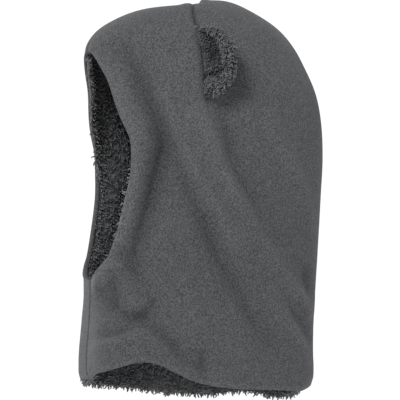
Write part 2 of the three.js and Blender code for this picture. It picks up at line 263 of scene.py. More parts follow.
pile = Finish("curly_pile", Roughness=1.0, Sheen_Weight=0.15, Sheen_Roughness=0.45, Specular_IOR_Level=0.15)
tufts = pile.noise(TUFT).between(NOISE_LOW, NOISE_HIGH)
strand_shade = ROOT_SHADE * pile.mark("tip") + TUFT_SHARE * tufts - PILE_SHADE_SHARE * pile.mark("pile_light_and_shade")
pile.paint(Base_Color=pile.blend(PILE_DARK, PILE_LIGHT, strand_shade))
pile.relief(pile.noise(FIBRE), FUZZ_DEPTH)
print(pile.material.name, len(pile.tree.nodes), "nodes")

# %% [markdown]
# ## Ground
# The ground is a plain pale floor far below the hood. It glows a little, as a floor does under studio lamps that
# aren't in the scene, and so lights the hood from underneath.

# %% Ground
GROUND_HEIGHT, GROUND_WIDTH, GROUND_GLOW = -0.8, 14, 0.3

ground_finish = Finish("pale_ground", Roughness=0.9, Base_Color=(0.86, 0.86, 0.86, 1),
                       Emission_Color=(1, 1, 1, 1), Emission_Strength=GROUND_GLOW)
bpy.ops.mesh.primitive_plane_add(size=GROUND_WIDTH, location=(0, 0, GROUND_HEIGHT))
ground = bpy.context.object
ground.name = "ground"
ground.data.materials.append(ground_finish.material)
print(ground.name, "at z =", GROUND_HEIGHT, "m")

# %% [markdown]
# ## The form of the hood
# The hood could be shaped by hand or by a cloth simulation over a head. Here it is a stack of rounded sections,
# from the hem to the crown, because then every seam, fold and edge can be given a place on it in plain numbers.
# A section has a reach to the front and to the back, a half width, and an exponent that says how square its
# corners are: 2 is an ellipse. A smooth curve through the stack gives a point for each turn round the head, from
# 0 at the nape to pi at the chin, and each place up the stack. Lengths are in millimetres here and become metres
# when a mesh is made.

# %% Sizes and sections
HOOD_HEIGHT, HOOD_DEPTH, HOOD_WIDTH = 301.0, 186.0, 145.0
FLEECE, LAYER_GAP, PILE = 2.0, 0.6, 5.5
WALL = FLEECE + LAYER_GAP + PILE
OPENING_HEIGHT, OPENING_WIDTH, FOREHEAD = 178.0, 113.0, 43.0

# drop, front, back, middle, half width, square in front, square behind, lean
SECTIONS = np.array([
    [0.999, 0.501, 0.443, -0.022, 0.855, 4, 2.3, 0],
    [0.963, 0.508, 0.454, -0.022, 0.883, 4, 2.3, 0],
    [0.906, 0.506, 0.452, -0.022, 0.876, 4, 2.3, 0],
    [0.828, 0.497, 0.458, -0.017, 0.855, 4, 2.2, 0],
    [0.75, 0.493, 0.467, -0.013, 0.848, 3.5, 2.2, 0],
    [0.678, 0.497, 0.473, -0.004, 0.869, 3.4, 2.2, 0],
    [0.595, 0.504, 0.48, 0.004, 0.91, 3.2, 2.2, 0],
    [0.504, 0.508, 0.487, 0.017, 0.959, 3, 2.2, 0],
    [0.413, 0.51, 0.494, 0.026, 0.993, 3, 2.2, 0],
    [0.323, 0.51, 0.488, 0.03, 1, 2.7, 2.2, 0],
    [0.245, 0.51, 0.467, 0.026, 0.979, 2.3, 2.1, 0],
    [0.175, 0.511, 0.421, 0.013, 0.917, 2.2, 2, 0],
    [0.118, 0.499, 0.369, -0.004, 0.828, 2.2, 2, 0],
    [0.071, 0.428, 0.3, -0.03, 0.697, 2.1, 2, 0],
    [0.03, 0.286, 0.191, -0.043, 0.497, 2, 2, 0.01],
    [0.009, 0.143, 0.074, -0.035, 0.248, 2, 2, 0.1],
    [0.0065, 0.039, -0.039, -0.039, 0, 2, 2, 0.12],
])
POLE = len(SECTIONS) - 1
POLE_Y = SECTIONS[-1, 3] * HOOD_DEPTH

beyond_pole = SECTIONS[-2].copy()
beyond_pole[1:4] = 2 * SECTIONS[-1, 1:4] - SECTIONS[-2, 1:4]
beyond_pole[4] = -SECTIONS[-2, 4]
STACK = np.vstack([2 * SECTIONS[0] - SECTIONS[1], SECTIONS, beyond_pole])
print(len(SECTIONS), "sections")


# %% Steps, bells and smooth rows
def ease(value):
    """A soft step, 0 up to 0 and 1 from 1."""
    value = np.clip(value, 0, 1)
    return value * value * (3 - 2 * value)


def bell(value, spread, power=2):
    """1 where the value is 0, falling off on both sides."""
    return np.exp(-(np.abs(value / spread) ** power))


def unit(vectors):
    return vectors / np.maximum(np.linalg.norm(vectors, axis=-1, keepdims=True), 1e-12)


def along_rows(rows, place):
    """Smooth values through the rows of a table that has one more row at each end."""
    place = np.clip(np.asarray(place, float), 0, len(rows) - 3 - 1e-9)
    index = place.astype(int)
    share = (place - index)[..., None]
    before, here, after, beyond = (rows[index + step] for step in range(4))
    square = 2 * before - 5 * here + 4 * after - beyond
    cube = 3 * here - before - 3 * after + beyond
    return here + share * (after - before + share * (square + share * cube)) / 2


# %% A point of the smooth hood
def smooth_point(turn, place):
    """Points of the hood without its folds."""
    section = np.moveaxis(along_rows(STACK, place), -1, 0)
    drop, front, back, middle, half, square_front, square_back, lean = section
    ahead = np.cos(turn) < 0
    middle = middle * HOOD_DEPTH
    length = np.abs(np.where(ahead, middle + front * HOOD_DEPTH, back * HOOD_DEPTH - middle)) + 1e-6
    square = np.where(ahead, square_front, square_back)
    half = np.abs(half * HOOD_WIDTH / 2) + 1e-6
    radius = ((np.abs(np.sin(turn)) / half) ** square + (np.abs(np.cos(turn)) / length) ** square) ** (-1 / square)
    y = middle + radius * np.cos(turn)
    return np.stack([radius * np.sin(turn), y, WALL - drop * HOOD_HEIGHT + lean * (y - POLE_Y)], -1)


def smooth_normal(turn, place, probe=0.004):
    """Directions out of the smooth hood."""
    place = np.minimum(place, POLE - 0.1)
    low = np.maximum(place - probe, 0)
    across = smooth_point(turn + probe, place) - smooth_point(turn - probe, place)
    return unit(np.cross(smooth_point(turn, low + 2 * probe) - smooth_point(turn, low), across))


def place_at_height(height, halvings=40):
    """The place up the stack that lies at each height."""
    low, high = np.zeros(np.shape(height)), np.full(np.shape(height), float(POLE))
    for _ in range(halvings):
        half = (low + high) / 2
        below = WALL - along_rows(STACK, half)[..., 0] * HOOD_HEIGHT < height
        low, high = np.where(below, half, low), np.where(below, high, half)
    return (low + high) / 2


print("crown at z =", round(float(smooth_point(0.0, float(POLE))[2]), 1), "mm")

# %% [markdown]
# ## Darts
# A dart is a wedge sewn out of flat cloth so that it cups over the head. From outside it is a narrow groove with
# slightly puffed sides, from the crown down to behind the temple. It could be cut as a real gap, but the cloth
# runs on underneath, so the groove is pressed into the one surface. The cloth in front of the darts lies a little
# lower than that behind them.

# %% Darts
DART_TURN, DART_LENGTH, DART_DEPTH = 1.88, 96.0, 3.2
DART_FADE = 0.85  # share of its length after which it grows shallow and eases back to the side
DART_SLIT, DART_POWER = 1.5, 1.1
PUFF_RISE, PUFF_PLACE, PUFF_SPREAD, PUFF_START = 1.1, 6, 4.5, 14
MEETING_DIP, MEETING_SPREAD = 1.5, 11  # where both darts meet the middle seam
FRONT_DIP, FRONT_SPREAD, FRONT_STEP = 3.5, 26, 4


def dart_turn(place):
    """The turn at which the dart lies. Below its end it eases back to the side of the head."""
    drop = along_rows(STACK, place)[..., 0] * HOOD_HEIGHT
    return DART_TURN + (np.pi / 2 - DART_TURN) * ease((drop - DART_FADE * DART_LENGTH) / DART_LENGTH)


def dart_rise(points, turn, place):
    """How far the darts lift or sink the cloth, and where their grooves are."""
    reach = np.hypot(points[..., 0], points[..., 1] - POLE_Y)
    across = (np.abs(turn) - dart_turn(place)) * reach
    drop = WALL - points[..., 2]
    fade = 1 - ease((drop - DART_FADE * DART_LENGTH) / ((1 - DART_FADE) * DART_LENGTH))
    groove = -DART_DEPTH * bell(across, DART_SLIT, DART_POWER)
    puff = PUFF_RISE * bell(np.abs(across) - PUFF_PLACE, PUFF_SPREAD)
    in_front = ease((POLE_Y - points[..., 1]) / FRONT_STEP + 0.2)
    dip = -MEETING_DIP * bell(reach, MEETING_SPREAD) - FRONT_DIP * bell(reach, FRONT_SPREAD) * in_front
    return (groove + puff * ease(reach / PUFF_START)) * fade + dip, bell(across, DART_SLIT) * fade


print("each dart is", DART_LENGTH, "mm long")

# %% [markdown]
# ## Folds
# Soft folds run from the face opening down to the nape, as the cloth hangs from the crown and is pulled by the
# neck, and smaller ones gather under the chin. A cloth simulation makes folds too, but not these ones. So each is
# a ridge or a valley along a path in the side view, highest in its middle and gone at its ends.

# %% Folds
# rise in mm, spread in mm, path as shares of the depth behind the origin and of the height below it
FOLDS = {
    "valley behind the rim": (-10.0, 8.5, [
        (-0.425, 0.12), (-0.36, 0.236), (-0.285, 0.35), (-0.268, 0.402),
        (-0.291, 0.458), (-0.343, 0.58), (-0.388, 0.69), (-0.338, 0.785)]),
    "roll of the rim": (4.0, 9.0, [
        (-0.465, 0.175), (-0.379, 0.357), (-0.36, 0.47), (-0.388, 0.6), (-0.422, 0.668)]),
    "first ridge": (4.0, 7.0, [(-0.3, 0.25), (-0.222, 0.381), (-0.145, 0.463), (-0.008, 0.605), (0.1, 0.73)]),
    "valley under the ridges": (-4.8, 8.0, [
        (-0.262, 0.36), (-0.182, 0.485), (-0.106, 0.572), (-0.035, 0.673),
        (0.067, 0.79), (0.143, 0.866), (0.26, 0.95)]),
    "second ridge": (6.0, 8.0, [
        (-0.137, 0.3), (-0.021, 0.452), (0.041, 0.524), (0.22, 0.673), (0.299, 0.742), (0.4, 0.83)]),
    "valley over the ridges": (-6.0, 8.0, [
        (-0.066, 0.27), (-0.008, 0.371), (0.017, 0.449), (0.16, 0.612), (0.236, 0.674), (0.34, 0.765)]),
    "ridge at the back": (4.0, 7.0, [(0.144, 0.308), (0.252, 0.416), (0.326, 0.499), (0.4, 0.61)]),
    "lower ridge at the back": (3.5, 5.0, [(0.24, 0.815), (0.327, 0.883), (0.4, 0.94)]),
    "valley above it": (-2.5, 5.0, [(0.279, 0.79), (0.34, 0.84), (0.4, 0.885)]),
    "pocket at the back": (-4.0, 6.0, [(0.37, 0.69), (0.4, 0.775)]),
    "roll under the chin": (6.0, 6.0, [(-0.493, 0.758), (-0.472, 0.728), (-0.43, 0.69)]),
    "tuck in the chin": (-6.0, 3.8, [(-0.457, 0.715), (-0.454, 0.81)]),
    "pouch under the chin": (-5.6, 5.2, [
        (-0.5, 0.77), (-0.458, 0.813), (-0.399, 0.84), (-0.325, 0.832), (-0.29, 0.77)]),
    "fold from the pouch to the hem": (-4.5, 6.0, [
        (-0.38, 0.83), (-0.286, 0.88), (-0.219, 0.93), (-0.14, 0.98)]),
    "crease under the pouch": (-3.5, 5.0, [(-0.5, 0.895), (-0.449, 0.885), (-0.37, 0.86)]),
    "swell over the hem": (3.5, 7.0, [(-0.507, 0.917), (-0.461, 0.92), (-0.34, 0.888)]),
    "pucker of the hem": (-4.0, 5.0, [(-0.1, 0.92), (-0.095, 0.995)]),
}
print(len(FOLDS), "folds")

# %% Rise of the folds
VALLEY_POWER, RIDGE_POWER, TAPER = 1.35, 1.8, 0.4
FAR_SIDE_SHARE = 0.6  # how strong the folds are on the right side, where they end short of the front
FAR_FOLDS_END, FAR_FOLDS_FADE = 0.5, 0.1
FOLD_EDGE, FOLD_EDGE_FRONT = 18.0, 30.0  # mm beside the middle seam over which a fold fades out


def near_path(path, y, drop):
    """Distance in the side view from points to a path, and the share of the path where each is nearest."""
    nearest, share_there = np.full(y.shape, np.inf), np.zeros(y.shape)
    ends = np.array(path) * (HOOD_DEPTH, HOOD_HEIGHT)
    for index, (start, end) in enumerate(zip(ends[:-1], ends[1:])):
        along = end - start
        share = np.clip(((y - start[0]) * along[0] + (drop - start[1]) * along[1]) / (along @ along), 0, 1)
        gap = np.hypot(y - start[0] - share * along[0], drop - start[1] - share * along[1])
        closer = gap < nearest
        nearest = np.where(closer, gap, nearest)
        share_there = np.where(closer, (index + share) / (len(ends) - 1), share_there)
    return nearest, share_there


def fold_rise(points):
    """How far the folds lift or sink the cloth at points of the smooth hood."""
    x, y, drop = points[..., 0], points[..., 1], WALL - points[..., 2]
    total = np.zeros(y.shape)
    for rise, spread, path in FOLDS.values():
        gap, share = near_path(path, y, drop)
        taper = np.sin(np.pi * np.clip(share, 0, 1)) ** TAPER
        total += rise * taper * bell(gap, spread, VALLEY_POWER if rise < 0 else RIDGE_POWER)
    far_share = FAR_SIDE_SHARE * ease((y / HOOD_DEPTH + FAR_FOLDS_END) / FAR_FOLDS_FADE)
    total = total * np.where(x < 0, far_share, 1)
    return total * ease(np.abs(x) / np.where(y < 0, FOLD_EDGE_FRONT, FOLD_EDGE))


# %% [markdown]
# ## Hem
# The hem is the free lower edge. It slopes down to the back, waves where the cloth isn't held, and is a little
# shorter at the nape. It could be cut from a longer neck, but the cut would run across the grid. Moving the lowest
# rows of the cloth up and down, less and less further up, does all three.

# %% Hem
HEM_SLOPE, HEM_REACH = 11.0, 48.0
NAPE_LIFT, NAPE_START, NAPE_SPREAD = 7.0, 0.34, 0.12
# side, place, spread and lift; places and spreads as shares of the depth
HEM_WAVES = [(1, -0.33, 0.15, 12.5), (1, 0.02, 0.22, -3.0), (-1, 0.0, 0.12, -1.2), (-1, 0.26, 0.1, 3.5),
             (-1, 0.42, 0.06, -4.2)]


def hem_shift(points):
    """How far the lower edge is lifted, fading out upwards."""
    x, behind = points[..., 0], points[..., 1] / HOOD_DEPTH
    fade = 1 - ease((points[..., 2] - WALL + HOOD_HEIGHT) / HEM_REACH)
    lift = -HEM_SLOPE * points[..., 1] / HOOD_DEPTH
    for side, where, spread, height in HEM_WAVES:
        lift = lift + height * (ease(np.abs(x) / FOLD_EDGE) * (np.sign(x) == side)) * bell(behind - where, spread)
    return (lift + NAPE_LIFT * ease((behind - NAPE_START) / NAPE_SPREAD)) * fade


print("hem at z =", round(float(smooth_point(0.0, 0.0)[2]), 1), "mm")

# %% [markdown]
# ## The panels' grid
# Each side of the hood is one panel. It could be cut out of a finished surface, but a cut leaves ragged faces. So
# it is laid out as a grid that follows its edges: columns run from the nape over the dart to the front, rows from
# the hem past the face opening to the crown. Rows and columns crowd together beside the seams and edges, where
# the cloth turns sharply.

# %% Edge of the face opening
# rise above the chin and half width, as shares of the opening's height and half its width
OPENING_EDGE = np.array([
    [0, 0], [0.012, 0.22], [0.04, 0.46], [0.085, 0.66], [0.15, 0.81], [0.27, 0.92], [0.42, 1], [0.57, 1.03],
    [0.68, 0.9], [0.78, 0.74], [0.87, 0.58], [0.94, 0.39], [0.985, 0.2], [1, 0]])
mirror = np.array([1, -1])
OPENING_ROWS = np.vstack([OPENING_EDGE[1] * mirror, OPENING_EDGE, OPENING_EDGE[-2] * mirror])
EDGE_STEPS = 1500
WIDEST = 0.97  # of the section's half width


def opening_places(count):
    """Turn and place of points along the opening's edge, evenly spaced from the chin to the forehead."""
    rise, half = along_rows(OPENING_ROWS, np.linspace(0, len(OPENING_EDGE) - 1, EDGE_STEPS)).T
    height = WALL - FOREHEAD - OPENING_HEIGHT + rise * OPENING_HEIGHT
    half = half * OPENING_WIDTH / 2
    length = np.concatenate([[0], np.cumsum(np.hypot(np.diff(height), np.diff(half)))])
    wanted = np.linspace(0, length[-1], count)
    height, half = np.interp(wanted, length, height), np.interp(wanted, length, half)
    place = place_at_height(height)
    section = along_rows(STACK, place)
    section_half, square = section[:, 4] * HOOD_WIDTH / 2, section[:, 5]
    across = np.clip(half / section_half, 0, WIDEST)
    ahead = (section[:, 3] + section[:, 1]) * HOOD_DEPTH * (1 - across ** square) ** (1 / square)
    return np.pi - np.arctan2(across * section_half, ahead), place


print("opening from", FOREHEAD, "to", FOREHEAD + OPENING_HEIGHT, "mm below the crown")

# %% Rows and columns
DART_HALF, DART_HALF_TURN = 5.5, 0.2  # half the dart's own columns in mm, and at most in radians
CROWDED, LOOSE = 0.9, 0.2


def crowded(count, low, high):
    """Shares from 0 to 1 that crowd towards the low and the high end."""
    even = np.linspace(0, 1, count)
    return even - low * np.sin(np.pi * even) * (1 - even) / np.pi + high * np.sin(np.pi * even) * even / np.pi


def panel_grid(neck, opening, crown, back, front, dart):
    """Turn and place of each point of a panel, with so many rows and columns in each stretch."""
    edge_turn, edge_place = opening_places(opening + 1)
    chin, forehead = edge_place[0], edge_place[-1]
    below, above = np.linspace(0, chin, neck, endpoint=False), np.linspace(forehead, POLE, crown + 1)[1:]
    front_place = np.concatenate([below, edge_place, above])
    front_turn = np.concatenate([np.full(neck, np.pi), edge_turn, np.full(crown, np.pi)])
    back_place = np.concatenate([below, np.linspace(chin, forehead, opening + 1), above])
    middle_place = (back_place + front_place) / 2
    middle_turn = dart_turn(middle_place)
    at_dart = smooth_point(middle_turn, middle_place)
    reach = np.maximum(np.hypot(at_dart[:, 0], at_dart[:, 1] - POLE_Y), 1)
    half_dart = np.minimum(DART_HALF / reach, DART_HALF_TURN)
    behind, ahead = crowded(back, CROWDED, LOOSE), crowded(front, LOOSE, CROWDED)
    across_dart = np.linspace(-1, 1, dart)[1:-1]
    turn = np.hstack([
        behind * (middle_turn - half_dart)[:, None],
        middle_turn[:, None] + across_dart * half_dart[:, None],
        (middle_turn + half_dart)[:, None] * (1 - ahead) + ahead * front_turn[:, None]])
    stack_place = np.hstack([
        back_place[:, None] * (1 - behind) + behind * middle_place[:, None],
        np.repeat(middle_place[:, None], len(across_dart), 1),
        middle_place[:, None] * (1 - ahead) + ahead * front_place[:, None]])
    return turn, stack_place


print("columns from the nape to a dart, as shares:", np.round(crowded(5, CROWDED, LOOSE), 2))

# %% One side of the hood
CREASE_DEPTH, CREASE_SPREAD, CREASE_POWER = 0.9, 1.1, 1.2  # of the middle seam
CHIN_CREASE, CHIN_PLACE, CHIN_SPREAD = 0.5, 0.5, 0.1  # the crease is deeper under the chin
ROLL_PLACE, ROLL_SPREAD, ROLL_ROWS, ROLL_RISE = 4, 3.5, 8, 0.7  # turned-in edge of the face opening
HEM_ROLL_PLACE, HEM_ROLL_SPREAD, HEM_ROLL_RISE = 5, 4, 0.5
HEM_EDGE_SPREAD = 1.6
# how much painted shade folds, the dart groove and the middle seam's crease give the fleece colour, and how much
# painted light ridges, the turned-in edge, the hem roll and the hem edge give it
FOLD_SHADE_SCALE, GROOVE_SHADE, ROLL_LIGHT, HEM_ROLL_LIGHT, CREASE_SHADE, HEM_EDGE_LIGHT = 8, 1.2, 0.35, 0.1, 0.6, 1.2
SEAM_GAP = 0.03  # mm from each panel to the middle plane
LOWER_RIM, UPPER_RIM = 0.4, 0.55  # where the lower part of the opening's edge ends and the upper one starts
SEAM_REACH = 16.0  # mm beside the middle seam over which the two sides' linings come to lie level at the hem


class Panel:
    """One side of the hood: its outer face and the directions out of it, on a grid."""

    def __init__(self, side, counts):
        turn, place = panel_grid(**counts)
        self.side = side
        self.chin_row, self.forehead_row = counts["neck"], counts["neck"] + counts["opening"]
        self.on_seam = np.zeros(turn.shape, bool)
        self.on_seam[:, 0] = self.on_seam[-1] = True
        self.on_seam[:self.chin_row + 1, -1] = self.on_seam[self.forehead_row:, -1] = True
        smooth = smooth_point(side * turn, place)
        out = smooth_normal(side * turn, place)
        smooth[self.on_seam, 0] = out[self.on_seam, 0] = 0
        crease = -CREASE_DEPTH * bell(smooth[..., 0], CREASE_SPREAD, CREASE_POWER)
        crease *= 1 + CHIN_CREASE * bell(smooth[..., 1] / HOOD_DEPTH + CHIN_PLACE, CHIN_SPREAD)
        folds = fold_rise(smooth)
        self.to_edge, roll, hem_roll, hem_edge = self.free_edges(smooth)
        dart, groove = dart_rise(smooth, side * turn, place)
        # painted light and shade for the fleece colour: darker in fold valleys, the dart groove and the crease,
        # lighter on ridges and the rolled edges
        self.painted_light_and_shade = np.clip(folds / FOLD_SHADE_SCALE, -1, 0.6) - GROOVE_SHADE * groove + ROLL_LIGHT * roll
        self.painted_light_and_shade = self.painted_light_and_shade + HEM_ROLL_LIGHT * hem_roll + CREASE_SHADE * crease + HEM_EDGE_LIGHT * hem_edge
        rise = folds + dart + crease
        rise += ROLL_RISE * roll + HEM_ROLL_RISE * hem_roll
        self.face = smooth + unit(out) * rise[..., None]
        self.face[..., 2] += hem_shift(smooth)
        self.face[self.on_seam, 0] = side * SEAM_GAP
        self.out = self.directions()

    def free_edges(self, smooth):
        """The way to the nearest free edge, and the turned-in edges, which stand a little proud."""
        steps = np.linalg.norm(np.diff(smooth, axis=1), axis=-1)
        to_front = np.hstack([np.cumsum(steps[:, ::-1], axis=1)[:, ::-1], np.zeros((len(smooth), 1))])
        rows = np.arange(len(smooth))[:, None]
        in_opening = (rows > self.chin_row) & (rows < self.forehead_row)
        ends = np.minimum(rows - self.chin_row, self.forehead_row - rows) / ROLL_ROWS
        roll = np.where(in_opening, ease(ends) * bell(to_front - ROLL_PLACE, ROLL_SPREAD), 0)
        steps_up = np.linalg.norm(np.diff(smooth[:, len(smooth[0]) // 2], axis=0), axis=-1)
        up = np.concatenate([[0], np.cumsum(steps_up)])[:, None]
        to_edge = np.minimum(up, np.where(in_opening, to_front, np.inf))
        return to_edge, roll, bell(up - HEM_ROLL_PLACE, HEM_ROLL_SPREAD), bell(up, HEM_EDGE_SPREAD)

    def directions(self):
        """Directions out of the folded face."""
        out = unit(np.cross(np.gradient(self.face, axis=0), np.gradient(self.face, axis=1))) * self.side
        out[-1] = unit(out[-4:-1].mean(axis=(0, 1)))
        out[self.on_seam, 0] = 0
        return unit(out)

    def at_depth(self, depth, rows=slice(None), beyond_hem=0.0, beyond_rim=(0.0, 0.0)):
        """The grid at a depth under the outer face, its free edges moved out beyond those of the fleece.

        beyond_rim has a number for the lower part of the face opening and one for the upper part.
        """
        face = self.face - depth * self.out
        beside = ease(np.abs(face[0, :, :1]) / SEAM_REACH)
        face[0] += beyond_hem * beside * unit(face[0] - face[1])
        chin, forehead = self.chin_row, self.forehead_row
        up = np.linspace(0, 1, forehead - chin + 1)[1:-1]
        beyond = np.interp(up, [0, LOWER_RIM, UPPER_RIM, 1], np.repeat(beyond_rim, 2))
        span = slice(chin + 1, forehead)
        face[span, -1] += beyond[:, None] * unit(face[span, -1] - face[span, -2])
        face[chin, -1] += beyond_rim[0] * unit(face[chin, -1] - face[chin - 1, -1])
        face[forehead, -1] += beyond_rim[1] * unit(face[forehead, -1] - face[forehead + 1, -1])
        return face[rows]


print("seams lie", 2 * SEAM_GAP, "mm apart")

# %% [markdown]
# ## Closed cloth from two layers
# Cloth has a thickness. A Solidify modifier could give it one, but not a rim that is rounded where the edge is
# turned in and flat where it meets its neighbour in a seam. So each panel is a closed skin: an outer face, an
# inner face, and a few loops between them that make the rim.


# %% Skin between two grids
def rim_of(index):
    """The points round a grid, one after the other."""
    return np.concatenate([index[0, :-1], index[:-1, -1], index[-1, :0:-1], index[:0:-1, 0]])


def rim_bulge(panel, rows, columns, first_row=0):
    """How far each rim point of a grid stands out: at the hem and the opening, and not in the seams."""
    bulge = np.zeros((rows, columns))
    if first_row == 0:
        bulge[0, 1:-1] = 1
    opening = np.arange(max(panel.chin_row, first_row) + 1, min(panel.forehead_row, first_row + rows - 1))
    bulge[opening - first_row, -1] = 1
    return rim_of(bulge)


def closed_skin(outer, inner, bulge, loops=4):
    """Points in mm and faces of a skin between two grids, and the grid point that each comes from."""
    rows, columns = outer.shape[:2]
    index = np.arange(rows * columns).reshape(rows, columns)
    quads = np.stack([index[:-1, :-1], index[:-1, 1:], index[1:, 1:], index[1:, :-1]], -1).reshape(-1, 4)
    rim = rim_of(index)
    towards = np.concatenate([index[1, :-1], index[:-1, -2], index[-2, :0:-1], index[:0:-1, 1]])
    flat_outer, flat_inner = outer.reshape(-1, 3), inner.reshape(-1, 3)
    outwards = unit(flat_outer[rim] - flat_outer[towards])
    middle, half = (flat_outer[rim] + flat_inner[rim]) / 2, (flat_outer[rim] - flat_inner[rim]) / 2
    thick = np.linalg.norm(half, axis=1, keepdims=True)
    vertices, faces = [flat_outer, flat_inner], [quads, quads[:, ::-1] + rows * columns]
    last, start = rim, 2 * rows * columns
    for loop in range(1, loops + 2):
        if loop <= loops:
            angle = np.pi * loop / (loops + 1)
            vertices.append(middle + half * np.cos(angle) + outwards * thick * np.sin(angle) * bulge[:, None])
            here = start + np.arange(len(rim))
            start += len(rim)
        else:
            here = rim + rows * columns
        faces.append(np.stack([np.roll(last, -1), last, here, np.roll(here, -1)], -1))
        last = here
    source = np.concatenate([index.ravel(), index.ravel(), np.tile(rim, loops)])
    return np.vstack(vertices), np.vstack(faces), source


# %% Objects from points
def close_up(mesh):
    """Merges points that coincide, drops faces that vanish with them, and turns the faces outwards."""
    cloth = bmesh.new()
    cloth.from_mesh(mesh)
    bmesh.ops.remove_doubles(cloth, verts=cloth.verts, dist=1e-6)
    bmesh.ops.dissolve_degenerate(cloth, edges=cloth.edges, dist=1e-7)
    if cloth.calc_volume(signed=True) < 0:
        bmesh.ops.reverse_faces(cloth, faces=cloth.faces)
    cloth.to_mesh(mesh)
    cloth.free()


def make_object(name, vertices, faces, finish, marks):
    """A smooth object from points in mm. marks are numbers kept on its points."""
    mesh = bpy.data.meshes.new(name)
    mesh.from_pydata((vertices / 1000).tolist(), [], faces.tolist())
    for mark, values in marks.items():
        mesh.attributes.new(mark, "FLOAT", "POINT").data.foreach_set("value", np.asarray(values, np.float32))
    thing = bpy.data.objects.new(name, mesh)
    bpy.context.scene.collection.objects.link(thing)
    close_up(mesh)
    mesh.shade_smooth()
    mesh.materials.append(finish.material)
    return thing


# %% [markdown]
# ## Fleece panels
# The outer panels carry the folds, the darts and the seams. They replace the plain solids of the model and keep
# their place and thickness, except at the free edges, where a strip of cloth is turned in.

# %% Make the fleece panels
SIDES = {"left": 1, "right": -1}
FINE = dict(neck=48, opening=88, crown=44, back=56, front=62, dart=17)
TURNED_IN, TURNED_SHARE = 5.0, 0.9  # mm of cloth turned in, and how much thicker that makes the edge

for name, side in SIDES.items():
    panel = Panel(side, FINE)
    thickness = FLEECE * (1 + TURNED_SHARE * bell(panel.to_edge, TURNED_IN))
    outer, inner = panel.at_depth(0), panel.at_depth(thickness[..., None])
    vertices, faces, source = closed_skin(outer, inner, rim_bulge(panel, *outer.shape[:2]))
    # the fleece keeps the mark of painted light and shade on its points
    cloth = make_object("fleece_" + name, vertices, faces, fleece, {"painted_light_and_shade": panel.painted_light_and_shade.ravel()[source]})
    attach(cloth, "root")
    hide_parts("shell_" + name)
    print(cloth.name, len(cloth.data.polygons), "faces")

# %% [markdown]
# ## Growing pile
# Curly pile is knitted with loose strands that hang and tangle. Hair curves would be quick to comb, but aren't
# mesh. The strands all follow one rule, so Geometry Nodes grow them: points are scattered over the backing where
# its mark "pile" allows, and a short bent strand stands on each one, leaning down and to a random side. Realize
# Instances turns them into plain mesh. First comes a class that keeps the script of a tree short.


# %% Nodes of a growing tree
class GrowingTree:
    """A tree of geometry nodes with named inputs."""

    def __init__(self, name, backing, sizes, finish, result):
        self.tree = bpy.data.node_groups.new(name, "GeometryNodeTree")
        self.tree.is_modifier = True
        kinds = {float: "NodeSocketFloat", int: "NodeSocketInt"}
        ask = self.tree.interface.new_socket
        ask(backing, in_out="INPUT", socket_type="NodeSocketGeometry")
        for size, value in sizes.items():
            ask(size, in_out="INPUT", socket_type=kinds[type(value)]).default_value = value
        ask(finish, in_out="INPUT", socket_type="NodeSocketMaterial")
        ask(result, in_out="OUTPUT", socket_type="NodeSocketGeometry")
        self.given = self.tree.nodes.new("NodeGroupInput").outputs

    def feed(self, value, socket):
        if isinstance(value, bpy.types.NodeSocket):
            self.tree.links.new(value, socket)
        else:
            socket.default_value = value

    def grow(self, kind, settings=None, **sockets):
        node = self.tree.nodes.new(kind)
        for name, value in (settings or {}).items():
            setattr(node, name, value)
        for name, value in sockets.items():
            self.feed(value, next(s for s in node.inputs if s.enabled and s.name == name.replace("_", " ")))
        return node

    def maths(self, kind, operation, first, second, inputs=(0, 1)):
        node = self.grow(kind, {"operation": operation})
        self.feed(first, node.inputs[inputs[0]])
        self.feed(second, node.inputs[inputs[1]])
        return node.outputs[0]

    def number(self, operation, first, second):
        return self.maths("ShaderNodeMath", operation, first, second)

    def added(self, first, second):
        return self.maths("ShaderNodeVectorMath", "ADD", first, second)

    def scaled(self, vector, share):
        return self.maths("ShaderNodeVectorMath", "SCALE", vector, share, ("Vector", "Scale"))

    def random(self, kind, low, high, seed):
        node = self.grow("FunctionNodeRandomValue", {"data_type": kind}, Min=low, Max=high, Seed=seed)
        return next(socket for socket in node.outputs if socket.enabled)


# %% Tree that grows pile
PILE_SIZES = {"Spacing": 0.002, "Length": 0.0045, "Thickness": 0.0011, "Upright": 0.5, "Hang": 0.5,
              "Tangle": 0.6, "Seed": 7}
BEND, TIP = (0.6, 0.0, 0.65), (0.15, 0.35, 1.0)  # where a strand of length 1 bends and ends
THINNING = 0.6  # how much thinner its tip is
STRAND_SIDES, STRAND_BENDS = 3, 2
DENSEST = 2.4  # more points for each square of the spacing than fit
SHORTEST, LONGEST = 0.7, 1.25
ROLL_SEED, SIZE_SEED = 3, 11


def one_strand(tree):
    """One curl, bent like a hook and thinner at its tip, which is marked so that painted shade can darken the
    root.
    """
    length, thickness = tree.given["Length"], tree.given["Thickness"]
    line = tree.grow("GeometryNodeCurveQuadraticBezier", Resolution=STRAND_BENDS, Start=(0, 0, 0),
                     Middle=tree.scaled(BEND, length), End=tree.scaled(TIP, length))
    along = tree.grow("GeometryNodeSplineParameter").outputs["Factor"]
    line = tree.grow("GeometryNodeStoreNamedAttribute", {"data_type": "FLOAT", "domain": "POINT"},
                     Geometry=line.outputs["Curve"], Name="tip", Value=along)
    thinner = tree.number("MULTIPLY", tree.number("POWER", along, 2.0), THINNING)
    left = tree.number("SUBTRACT", 1.0, thinner)
    radius = tree.number("MULTIPLY", tree.number("MULTIPLY", thickness, 0.5), left)
    ring = tree.grow("GeometryNodeCurvePrimitiveCircle", {"mode": "RADIUS"}, Resolution=STRAND_SIDES, Radius=1.0)
    strand = tree.grow("GeometryNodeCurveToMesh", Curve=line.outputs["Geometry"],
                       Profile_Curve=ring.outputs["Curve"], Scale=radius, Fill_Caps=True)
    return strand.outputs["Mesh"]


